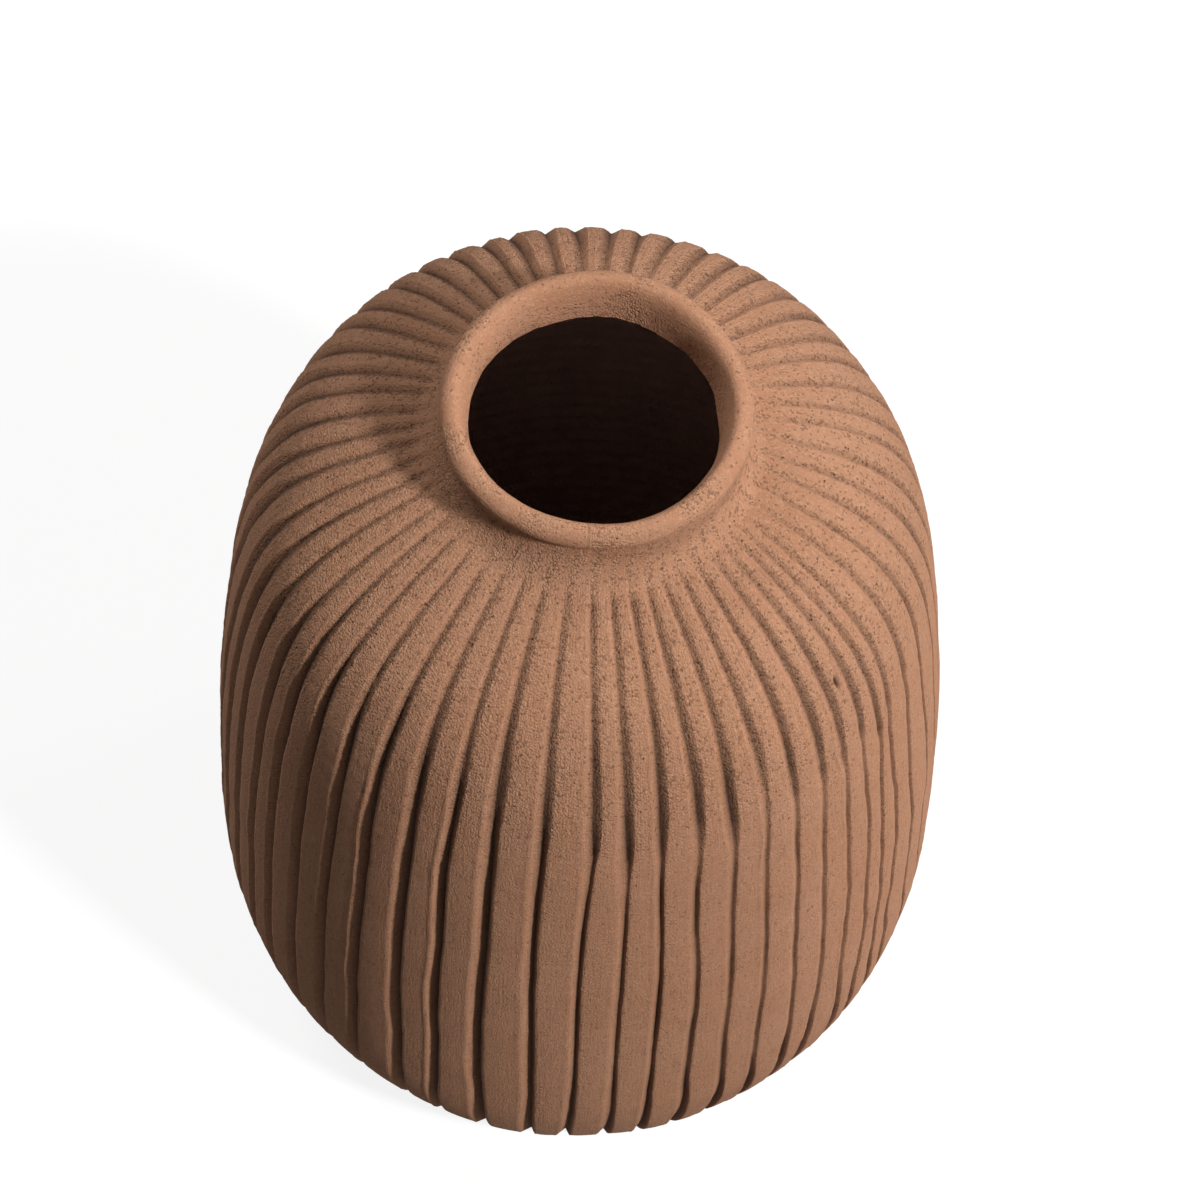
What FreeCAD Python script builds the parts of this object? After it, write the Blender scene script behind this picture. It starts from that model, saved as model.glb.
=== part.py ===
import FreeCAD, Part
import math
import os

# A fluted terracotta floor vase, thrown in sections that are scored, slipped and joined:
# a base slab, a barrelled wall, a domed shoulder, a neck collar and a rolled rim.
# Millimetres, +Z up, origin on the floor under the middle of the foot.

# Outside of the wall: upright at the belly, drawn in below it and above it
belly_radius = 150.0
belly_height = 80.0
foot_inset = 21.0
seam_height = 260.0
seam_inset = 11.0

# Outside of the shoulder: it leaves the wall along the wall's own lean and reaches the neck on a slope
shoulder_rise = 114.0
shoulder_low_pull = 71.0
shoulder_top_pull = 55.0
neck_foot_radius = 66.0
neck_foot_slope = 24.0

# Neck collar and the roll of clay on its top, which beds in a saddle as wide as a quarter of the roll
neck_rise = 24.0
roll_circle_radius = 53.0
roll_radius = 6.0

# Thickness of the clay
wall_thickness = 12.0
slab_thickness = 14.0

# Seam between the slab and the wall: the slab's upper half rests on a ledge round the wall's foot
toe_width = 14.0
ledge_height = 7.0

# Seam between the wall and the shoulder: a V-shaped tongue in a V-shaped groove
tongue_depth_in_wall = 8.0
tongue_width = 5.0
tongue_height = 4.0

# Seam between the shoulder and the collar: the collar is let into a rebate and undercut below its throat
rebate_depth = 3.0
rebate_width = 8.0
rebate_land = 2.0
undercut_height = 12.0

# Film of slip left between curved faces of a seam
slip_film = 0.2

# Flutes: V-shaped strokes cut by hand up the wall and the shoulder, with flat strips left between them.
# Bearings are in degrees from the front and grow to the right. The strokes in front are spaced by eye,
# and the rest evenly.
flute_count = 57
first_flute_bearing = -48.0
front_flute_steps = [7] * 5 + [8] * 2 + [6] * 7 + [5] * 2 + [4] * 2

# From the height where the upper and the lower cut of a stroke meet, it swings to the left down to the foot
flute_swing = 1.4
flute_swing_height = 295.0

# Left side, right side and depth of a stroke on the wall, half-way up the shoulder and at the neck
wall_flute_left = 4.0
wall_flute_right = 2.0
wall_flute_depth = 4.0
shoulder_flute_left = 2.4
shoulder_flute_right = 3.8
shoulder_flute_depth = 1.8
neck_flute_left = 1.2
neck_flute_right = 1.6
neck_flute_depth = 0.3

# Straight steps that make up the curved outlines
foot_bands = 3
belly_bands = 2
shoulder_bands = 6
cove_steps = 2
roll_sides = 12

# Heights and radii that follow from the sizes above
neck_foot_height = seam_height + shoulder_rise
seat_height = neck_foot_height - rebate_depth
roll_height = neck_foot_height + neck_rise
foot_radius = belly_radius - foot_inset
seam_radius = belly_radius - seam_inset
opening_radius = neck_foot_radius - rebate_width
slope = math.radians(neck_foot_slope)
origin = FreeCAD.Vector(0, 0, 0)
axis = FreeCAD.Vector(0, 0, 1)


def at(radius, height):
    """Point of a turned outline, in the X-Z plane."""
    return FreeCAD.Vector(radius, 0, height)


def steps(count):
    """Even shares from nothing to the whole."""
    return [step / count for step in range(count + 1)]


def turned(*points):
    """Solid turned round the vase's axis from the outline through the points and back to the first."""
    outline = Part.makePolygon([*points, points[0]])
    return Part.Face(outline).revolve(origin, axis, 360)


def arc_radius(inset, rise):
    """Radius of an arc that starts upright and moves in by an inset over a rise."""
    return (inset ** 2 + rise ** 2) / (2 * inset)


lower_arc_radius = arc_radius(foot_inset, belly_height)
upper_arc_radius = arc_radius(seam_inset, seam_height - belly_height)
seam_lean = math.asin((seam_height - belly_height) / upper_arc_radius)


def wall_radius(height, depth=0.0):
    """Radius of the wall at a height, on the face that lies a depth inside its outside."""
    radius = lower_arc_radius if height < belly_height else upper_arc_radius
    return belly_radius - radius + math.sqrt((radius - depth) ** 2 - (height - belly_height) ** 2)


def wall_outline(bottom, depth=0.0):
    """Points of the wall's outline from a bottom height up to the seam."""
    below = [bottom + (belly_height - bottom) * share for share in steps(foot_bands)]
    above = [belly_height + (seam_height - belly_height) * share for share in steps(belly_bands)]
    return [at(wall_radius(height, depth), height) for height in below + above[1:]]


inner_foot = at(wall_radius(slab_thickness, wall_thickness), slab_thickness)
inner_seam = at(wall_radius(seam_height, wall_thickness), seam_height)


def shoulder_curve(depth, start_radius):
    """Outline of the shoulder from the seam to the neck, a depth inside its outside."""
    turn = math.pi / 2 - slope - seam_lean
    shorter = 4 / 3 * math.tan(turn / 4) * depth
    low_pull = shoulder_low_pull - shorter
    top_pull = shoulder_top_pull - shorter
    top_radius = neck_foot_radius + rebate_land
    start = at(start_radius, seam_height)
    end = at(top_radius - depth * math.sin(slope), neck_foot_height - depth * math.cos(slope))
    bezier = Part.BezierCurve()
    bezier.setPoles([
        start,
        start + at(-low_pull * math.sin(seam_lean), low_pull * math.cos(seam_lean)),
        end + at(top_pull * math.cos(slope), -top_pull * math.sin(slope)),
        end,
    ])
    return bezier


def flute_bearings():
    """Bearing of every stroke at the neck, in degrees from the front."""
    front = [first_flute_bearing]
    for step in front_flute_steps:
        front.append(front[-1] + step)
    hidden = flute_count - len(front)
    pitch = (360 - sum(front_flute_steps)) / (hidden + 1)
    return front + [front[-1] + pitch * (place + 1) for place in range(hidden)]


def level_corners(height, notch):
    """Corners of a level outline that repeats one notch of (turn, radius) corners at every stroke."""
    swing = flute_swing * max(0, 1 - height / flute_swing_height)
    corners = []
    for bearing in flute_bearings():
        for turn, radius in notch:
            angle = math.radians(bearing - swing) + turn
            corners.append(FreeCAD.Vector(radius * math.sin(angle), -radius * math.cos(angle), height))
    return corners


def facet(*corners):
    """Flat face with the corners given."""
    return Part.Face(Part.makePolygon([*corners, corners[0]]))


def faceted(sections):
    """Solid through level outlines that have as many corners each, with two flat facets in every field."""
    faces = [facet(*sections[0]), facet(*sections[-1])]
    for lower, upper in zip(sections, sections[1:]):
        for place in range(len(lower)):
            following = (place + 1) % len(lower)
            faces.append(facet(lower[place], lower[following], upper[following]))
            faces.append(facet(lower[place], upper[following], upper[place]))
    return Part.makeSolid(Part.makeShell(faces))


def fluted_section(point, lean, left, right, depth):
    """Corners of the body's outline through a point of its outside, notched by every stroke."""
    tip_radius = point.x - depth / math.cos(lean)
    return level_corners(point.z, [(-left / point.x, point.x), (0, tip_radius), (right / point.x, point.x)])


def hollow_blank(points):
    """Solid of the hollow inside the points, with one flat behind every strip of the body."""
    return faceted([level_corners(point.z, [(0, point.x)]) for point in points])


def fluted_wall_blank():
    """Solid barrel with the strokes of the wall."""
    stroke = wall_flute_left, wall_flute_right, wall_flute_depth
    return faceted([fluted_section(point, 0, *stroke) for point in wall_outline(0)])


def shoulder_stroke(share):
    """Left side, right side and depth of a stroke at a share of the way from the seam to the neck."""
    low = wall_flute_left, wall_flute_right, wall_flute_depth
    middle = shoulder_flute_left, shoulder_flute_right, shoulder_flute_depth
    high = neck_flute_left, neck_flute_right, neck_flute_depth
    start, end, part = (low, middle, 2 * share) if share < 0.5 else (middle, high, 2 * share - 1)
    return [first + (second - first) * part for first, second in zip(start, end)]


def fluted_shoulder_blank():
    """Solid dome with the strokes of the shoulder, which thin out towards the neck."""
    outside = shoulder_curve(0, seam_radius)
    sections = []
    for share in steps(shoulder_bands):
        along = outside.tangent(share)[0]
        lean = math.atan2(-along.x, along.z) if share else 0
        sections.append(fluted_section(outside.value(share), lean, *shoulder_stroke(share)))
    return faceted(sections)


def tongue(film):
    """Ring of the V seam, held back from its groove by a film of slip."""
    middle = seam_radius - tongue_depth_in_wall
    half_width = tongue_width / 2 - film
    return turned(
        at(middle + half_width, seam_height),
        at(middle, seam_height - tongue_height + film),
        at(middle - half_width, seam_height),
    )


def stepped_disc(film):
    """Disc that closes the foot, wider over the ledge, held back from its seat by a film of slip."""
    toe_radius = foot_radius - toe_width - film
    edge_radius = inner_foot.x - film
    lower = faceted([level_corners(height, [(0, toe_radius)]) for height in (0, ledge_height)])
    upper = faceted([level_corners(height, [(0, edge_radius)]) for height in (ledge_height, slab_thickness)])
    return lower.fuse(upper)


def make_base_slab():
    """Flat disc of clay with a stepped edge."""
    return stepped_disc(slip_film)


def make_body_wall():
    """Fluted wall with a ledge for the slab at its foot and the V groove in its top edge."""
    hollow = hollow_blank(wall_outline(slab_thickness, wall_thickness))
    return fluted_wall_blank().cut([hollow, stepped_disc(0), tongue(0)])


def make_shoulder():
    """Fluted dome with the V tongue under its lower edge and a rebate round its opening."""
    inside = shoulder_curve(wall_thickness, inner_seam.x)
    hollow = hollow_blank([inside.value(share) for share in steps(shoulder_bands)])
    opening = turned(
        at(0, seam_height),
        at(opening_radius, seam_height),
        at(opening_radius, seat_height),
        at(neck_foot_radius, seat_height),
        at(neck_foot_radius, neck_foot_height),
        at(0, neck_foot_height),
    )
    return fluted_shoulder_blank().cut([hollow, opening]).fuse(tongue(slip_film))


def roll_point(side, radius):
    """Corner of the roll's section; corners are counted round from the throat side of its saddle."""
    bearing = math.radians(225 + 360 * side / roll_sides)
    return at(roll_circle_radius + radius * math.cos(bearing), roll_height + radius * math.sin(bearing))


def make_neck_collar():
    """Neck let into the shoulder's rebate, with a coved outside and a saddle for the rim."""
    saddle = [roll_point(side, roll_radius + slip_film) for side in range(roll_sides // 4 + 1)]
    throat_radius = saddle[0].x
    neck_radius = saddle[-1].x
    cove_foot = at(neck_foot_radius - slip_film, neck_foot_height)
    cove_corner = at(neck_radius, neck_foot_height + (cove_foot.x - neck_radius) * math.tan(slope))
    cove = Part.BezierCurve()
    cove.setPoles([saddle[-1], cove_corner, cove_foot])
    return turned(
        *saddle,
        *[cove.value(share) for share in steps(cove_steps)[1:]],
        at(cove_foot.x, seat_height),
        at(opening_radius, seat_height),
        at(throat_radius, seat_height + undercut_height),
    )


def make_rim_roll():
    """Roll of clay bedded in the collar's saddle."""
    return turned(*[roll_point(side, roll_radius) for side in range(roll_sides)])


pieces = {
    "base_slab": make_base_slab(),
    "body_wall": make_body_wall(),
    "shoulder": make_shoulder(),
    "neck_collar": make_neck_collar(),
    "rim_roll": make_rim_roll(),
}

os.makedirs("parts", exist_ok=True)
for name, piece in pieces.items():
    piece.exportStep(f"parts/{name}.step")
    box = piece.BoundBox
    heights = f"height {box.ZMin:.1f} to {box.ZMax:.1f}"
    print(f"{name}: {piece.Volume / 1000:.1f} cm3, {heights}, valid {piece.isValid()}")
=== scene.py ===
"""Fluted terracotta floor vase: the finished surfaces of its five clay sections, in a plain studio."""
import logging
import math
from dataclasses import dataclass, replace
from enum import Enum
from functools import partial
from typing import Any

import bpy
import numpy as np
from bpy.types import Material, NodeSocket, NodeTree, Object
from mathutils import Matrix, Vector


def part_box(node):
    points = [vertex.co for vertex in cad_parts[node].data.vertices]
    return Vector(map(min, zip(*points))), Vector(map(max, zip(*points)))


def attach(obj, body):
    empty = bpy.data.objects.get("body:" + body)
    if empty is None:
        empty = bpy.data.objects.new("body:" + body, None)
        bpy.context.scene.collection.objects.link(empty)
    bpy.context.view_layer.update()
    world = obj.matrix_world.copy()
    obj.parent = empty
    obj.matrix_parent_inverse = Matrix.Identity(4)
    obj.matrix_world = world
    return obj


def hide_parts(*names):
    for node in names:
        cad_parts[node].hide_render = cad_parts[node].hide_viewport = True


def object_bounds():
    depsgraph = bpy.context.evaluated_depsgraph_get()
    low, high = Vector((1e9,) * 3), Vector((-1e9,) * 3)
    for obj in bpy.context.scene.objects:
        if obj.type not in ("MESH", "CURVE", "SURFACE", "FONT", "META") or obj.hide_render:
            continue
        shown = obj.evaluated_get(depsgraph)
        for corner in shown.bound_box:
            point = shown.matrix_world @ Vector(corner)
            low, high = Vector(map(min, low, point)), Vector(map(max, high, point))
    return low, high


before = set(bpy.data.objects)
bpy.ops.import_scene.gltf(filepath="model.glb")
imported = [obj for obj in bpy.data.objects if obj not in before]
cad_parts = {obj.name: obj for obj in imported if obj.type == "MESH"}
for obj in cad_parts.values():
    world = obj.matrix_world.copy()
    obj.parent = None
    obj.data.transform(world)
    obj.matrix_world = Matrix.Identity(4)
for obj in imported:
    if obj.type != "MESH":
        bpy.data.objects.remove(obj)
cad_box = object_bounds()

log = logging.getLogger("vase")
MM = 0.001
TURN = 2 * math.pi
FINE_POINTS = 400

Array = np.ndarray
Pair = tuple[float, float]
Sizes = tuple[float, ...]
Zone = tuple[float, float, float, float]


class Slot(Enum):
    """Material slots of the record that the pieces take their finish from."""

    CARVED = "carved_terracotta"
    SMOOTHED = "smoothed_terracotta"


def linear(colour: str) -> tuple[float, float, float, float]:
    """Linear colour of an sRGB hex value.

    Args:
        colour: six hex digits after a hash.

    Returns:
        Linear red, green, blue and full alpha.
    """
    shares = [int(colour[start:start + 2], 16) / 255 for start in (1, 3, 5)]
    light = [share / 12.92 if share <= 0.04045 else ((share + 0.055) / 1.055) ** 2.4 for share in shares]
    return light[0], light[1], light[2], 1.0


def add_node(tree: NodeTree, kind: str, inputs: dict[Any, Any], output: Any = 0,
             **settings: Any) -> NodeSocket:
    """Adds a node with its settings, input values and links.

    Args:
        tree: node tree that gets the node.
        kind: type name of the node, but for the word ShaderNode.
        inputs: value, or socket to link from, for each input by its name or number.
        output: name or number of the output that is wanted.
        settings: properties of the node itself.

    Returns:
        The output socket that was asked for.
    """
    made = tree.nodes.new("ShaderNode" + kind)
    for name, value in settings.items():
        setattr(made, name, value)
    for name, value in inputs.items():
        if isinstance(value, NodeSocket):
            tree.links.new(value, made.inputs[name])
        else:
            made.inputs[name].default_value = value
    return made.outputs[output] if made.outputs else None


def smooth_step(value: Array, low: float | Array, high: float | Array) -> Array:
    """Eases from 0 at low to 1 at high."""
    share = np.clip((value - low) / (high - low), 0, 1)
    return share * share * (3 - 2 * share)


def zone(value: Array, ends: Zone) -> Array:
    """Eases from 0 to 1 between the first two ends, and back to 0 between the last two."""
    return smooth_step(value, *ends[:2]) * (1 - smooth_step(value, *ends[2:]))


def unevenness(points: Array, size: Pair, seed: int, waves: int = 14) -> Array:
    """Smooth seeded unevenness, as hands leave it in clay.

    Args:
        points: places, the last axis holding x, y and z.
        size: usual height of a crest and distance from crest to crest, in millimetres like the places.
        seed: number that fixes the draw.
        waves: plane waves that are added up.

    Returns:
        Height at each place.
    """
    shortest, longest, highest = 0.6, 1.6, 1.6
    draw = np.random.default_rng(seed)
    directions = draw.normal(size=(waves, 3))
    directions /= np.linalg.norm(directions, axis=1, keepdims=True)
    pitches = size[1] * draw.uniform(shortest, longest, waves)
    phases = draw.uniform(0, TURN, waves)
    total = np.zeros(points.shape[:-1])
    for direction, pitch, phase in zip(directions, pitches, phases):
        total += np.sin(points @ direction * (TURN / pitch) + phase)
    return size[0] * total / (highest * math.sqrt(waves / 2))


def around(radius: Array, bearing: Array, height: Array) -> Array:
    """Points at a radius, a bearing and a height; bearing 0 is the front and grows to the right.

    Args:
        radius: distance from the vase's axis, in millimetres.
        bearing: turn round the axis, in radians.
        height: height over the floor, in millimetres.

    Returns:
        Points with x, y and z on the last axis.
    """
    radius, bearing, height = np.broadcast_arrays(radius, bearing, height)
    return np.stack([radius * np.sin(bearing), -radius * np.cos(bearing), height], axis=-1)


def run_lengths(curve: Array) -> Array:
    """Distance along a curve of (radius, height) points, from its first point."""
    return np.append(0, np.cumsum(np.linalg.norm(np.diff(curve, axis=0), axis=1)))


def evenly(curve: Array, count: int) -> Array:
    """Points spaced evenly along a curve.

    Args:
        curve: radius and height of the curve's points.
        count: number of points wanted.

    Returns:
        Radius and height of the new points.
    """
    lengths = run_lengths(curve)
    wanted = np.linspace(0, lengths[-1], count)
    return np.stack([np.interp(wanted, lengths, curve[:, axis]) for axis in (0, 1)], axis=1)


def swept(start: Array, low: Array, high: Array, end: Array, count: int) -> Array:
    """Points of a curve that leaves its start towards low and comes to its end from high."""
    on, off = np.linspace([0, 1], [1, 0], count).T[:, :, None]
    return off ** 3 * start + 3 * off ** 2 * on * low + 3 * off * on ** 2 * high + on ** 3 * end


def outward(curve: Array) -> Array:
    """Unit normals of a curve that runs upwards on the outside."""
    tangent = np.gradient(curve, axis=0)
    tangent /= np.linalg.norm(tangent, axis=1, keepdims=True)
    return np.stack([tangent[:, 1], -tangent[:, 0]], axis=1)


class Skin:
    """Closed mesh that is put together from turned grids and the rings between them."""

    MARKS = ("groove_shade", "torn", "dusty", "across", "along")

    def __init__(self) -> None:
        """Starts with no points and no faces."""
        self.points: list[Array] = []
        self.marks: dict[str, list[Array]] = {mark: [] for mark in self.MARKS}
        self.faces: list[list[int]] = []
        self.borders: list[Array] = []
        self.count = 0

    def grid(self, points: Array, inside: bool = False, **marks: Array) -> Array:
        """Adds rows of points that close round the axis.

        Args:
            points: places by row and column, in millimetres.
            inside: True where the grid is seen from the axis.
            marks: values by row and column that the finish reads.

        Returns:
            Numbers of the new points by row and column.
        """
        rows, columns = points.shape[:2]
        numbers = self.count + np.arange(rows * columns).reshape(rows, columns)
        self.count += rows * columns
        self.points.append(points.reshape(-1, 3))
        for mark in self.MARKS:
            value = np.broadcast_to(marks.get(mark, 0.0), (rows, columns))
            self.marks[mark].append(value.reshape(-1))
        right = np.roll(numbers, -1, axis=1)
        corners = [numbers[:-1], right[:-1], right[1:], numbers[1:]]
        if inside:
            corners.reverse()
        self.faces.extend(np.stack(corners, axis=-1).reshape(-1, 4).tolist())
        return numbers

    def ring(self, fine: Array, coarse: Array, inside: bool = False) -> None:
        """Joins a loop of many points to one of fewer, with sharp edges on both.

        Args:
            fine: numbers of the loop with more points.
            coarse: numbers of the loop with fewer points.
            inside: True where the ring is seen from the other side.
        """
        step = len(fine) // len(coarse)
        for place in range(len(coarse)):
            chain = [int(fine[(place * step + offset) % len(fine)]) for offset in range(step + 1)]
            face = chain + [int(coarse[(place + 1) % len(coarse)]), int(coarse[place])]
            self.faces.append(face[::-1] if inside else face)
        self.borders += [fine, coarse]

    def make(self, name: str) -> Object:
        """Makes the object of the mesh.

        Args:
            name: name of the piece.

        Returns:
            The new object, smooth but for its borders.
        """
        mesh = bpy.data.meshes.new(name)
        mesh.from_pydata((np.concatenate(self.points) * MM).tolist(), [], self.faces)
        for mark, values in self.marks.items():
            layer = mesh.attributes.new(mark, "FLOAT", "POINT")
            layer.data.foreach_set("value", np.concatenate(values).astype(np.float32))
        mesh.shade_smooth()
        border = np.zeros(self.count, bool)
        for loop in self.borders:
            border[loop] = True
        ends = np.empty(len(mesh.edges) * 2, np.int32)
        mesh.edges.foreach_get("vertices", ends)
        sharp = mesh.attributes.new("sharp_edge", "BOOLEAN", "EDGE")
        sharp.data.foreach_set("value", border[ends.reshape(-1, 2)].all(axis=1))
        mesh.validate()
        made = bpy.data.objects.new(name, mesh)
        bpy.context.scene.collection.objects.link(made)
        return made


def dress(piece: Object, material: Material, node: str) -> None:
    """Gives a piece its finish and its body, and hides the construction node that it stands for.

    Args:
        piece: object to dress.
        material: its finish.
        node: name of the construction node that it replaces.
    """
    piece.data.materials.append(material)
    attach(piece, "root")
    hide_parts(node)
    log.info("%s: %d points, %d faces", piece.name, len(piece.data.vertices), len(piece.data.polygons))


@dataclass(frozen=True)
class Terracotta:
    """Unglazed, sandy terracotta, fired once.

    Low-fired iron clay is warm brown and dead matt. Its sand stands up as single grains, some pale and some
    dark, thickest on the torn side of a stroke, and leaves small pits where the tool or the sponge tore them
    out; the pits and the gaps of lost grains are dark clay and partly painted shade. A deep stroke is painted
    darker for the shade in it, and pale dust lies on the inside. What a name ending in torn says is added
    where the clay is torn.
    """

    name: str
    clay: str
    warm_clay: str
    pale_grain: str
    dark_pit_and_shade: str
    streak_and_shade_clay: str
    dust: str
    patch_mm: float
    grain_mm: float
    pit_cell_mm: float
    pit_share: float
    pit_patch: float
    streak_across_mm: float
    streak_along_mm: float
    relief_mm: float
    pale_cover: float = 0.6
    pale_torn: float = 0.35
    pit_torn: float = 0.3
    pit_cover: float = 0.6
    gap_share: float = 0.01
    gap_torn: float = 0.24
    gap_cover: float = 0.4
    streak_cover: float = 0.22
    streak_relief: float = 0.8
    painted_shade_cover: float = 0.92
    roughness: float = 0.92
    ior: float = 1.5
    specular: float = 0.25

    def material(self) -> Material:
        """Builds the finish.

        Returns:
            Material with the grain, pits and streaks of the clay, and its grooves painted darker for their
            shade.
        """
        made = bpy.data.materials.new(self.name)
        made.use_nodes = True
        tree = made.node_tree
        add = partial(add_node, tree)
        shader = tree.nodes["Principled BSDF"]
        place = add("TexCoord", {}, "Object")
        groove_shade, torn, dusty, across, along = (
            add("Attribute", {}, "Fac", attribute_name=mark) for mark in Skin.MARKS)
        cloudy = {"Detail": 3.0, "Roughness": 0.6}

        # Where the clay is warmer, and where a comb of streaks follows the tool.
        patch = add("TexNoise", {"Vector": place, "Scale": 1 / (self.patch_mm * MM), **cloudy}, "Fac")
        streak_place = add("CombineXYZ", {"X": across, "Y": along})
        streak_place = add("VectorMath", {
            0: streak_place, 1: (self.streak_across_mm, self.streak_along_mm, 1)}, operation="DIVIDE")
        streak = add("TexNoise", {"Vector": streak_place, "Scale": 1.0, **cloudy}, "Fac")

        # Distance from the middle of a grain or a pit's cell, and a draw from 0 to 1 for each.
        cells = []
        for size in (self.grain_mm, self.pit_cell_mm):
            away = add("TexVoronoi", {"Vector": place, "Scale": 1 / (size * MM)}, "Distance")
            draw = add("SeparateColor", {0: away.node.outputs["Color"]}, "Red")
            cells.append((away, draw))
        (grain_away, grain_draw), (pit_away, pit_draw) = cells

        # Round pits in some cells, more in patches, whose noise lies round 0.5, and grains that are gone;
        # their dark clay is partly painted shade in them.
        crowd: Any = self.pit_share - 0.5 * self.pit_patch
        for mark, gain in ((torn, self.pit_torn), (patch, self.pit_patch)):
            crowd = add("Math", {0: mark, 1: gain, 2: crowd}, operation="MULTIPLY_ADD")
        picked = add("Math", {0: pit_draw, 1: crowd}, operation="LESS_THAN")
        pit = add("MapRange", {
            "Value": pit_away, "From Min": 0.12, "From Max": 0.3, "To Min": self.pit_cover, "To Max": 0.0})
        pit = add("Math", {0: picked, 1: pit}, operation="MULTIPLY")
        gone = add("Math", {0: torn, 1: self.gap_torn, 2: self.gap_share}, operation="MULTIPLY_ADD")
        gone = add("Math", {0: grain_draw, 1: gone}, operation="LESS_THAN")
        dark = add("Math", {0: gone, 1: self.gap_cover, 2: pit}, operation="MULTIPLY_ADD", use_clamp=True)

        # Layers of colour, each with the share that it covers.
        warm = add("MapRange", {"Value": patch, "From Min": 0.35, "From Max": 0.65})
        pale = add("MapRange", {
            "Value": grain_draw, "From Min": 0.55, "From Max": 1.0, "To Max": self.pale_cover})
        pale = add("Math", {0: torn, 1: self.pale_torn, 2: pale}, operation="MULTIPLY_ADD", use_clamp=True)
        streaks = add("MapRange", {
            "Value": streak, "From Min": 0.52, "From Max": 0.75, "To Max": self.streak_cover})
        # Painted shade: where the groove mark says, deep strokes and the chip take the darkest clay.
        painted_shade_share = add("Math", {0: groove_shade, 1: self.painted_shade_cover}, operation="MULTIPLY")
        colour: Any = linear(self.clay)
        for cover, layer in (
                (warm, self.warm_clay), (pale, self.pale_grain), (streaks, self.streak_and_shade_clay),
                (painted_shade_share, self.streak_and_shade_clay), (dark, self.dark_pit_and_shade), (dusty, self.dust)):
            colour = add("Mix", {0: cover, 6: colour, 7: linear(layer)}, 2, data_type="RGBA")

        # Grains stand up, pits and gaps lie deep, and torn clay has three times the relief.
        sandy = add("Math", {0: grain_draw, 1: grain_away}, operation="SUBTRACT")
        sandy = add("Math", {0: sandy, 1: dark}, operation="SUBTRACT")
        height = add("Math", {0: streak, 1: self.streak_relief, 2: sandy}, operation="MULTIPLY_ADD")
        depth = add("Math", {
            0: torn, 1: 2 * self.relief_mm * MM, 2: self.relief_mm * MM}, operation="MULTIPLY_ADD")
        bumpy = add("Bump", {"Height": height, "Strength": 1.0, "Distance": depth}, "Normal")

        tree.links.new(colour, shader.inputs["Base Color"])
        tree.links.new(bumpy, shader.inputs["Normal"])
        shader.inputs["Roughness"].default_value = self.roughness
        shader.inputs["IOR"].default_value = self.ior
        shader.inputs["Specular IOR Level"].default_value = self.specular
        return made


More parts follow.
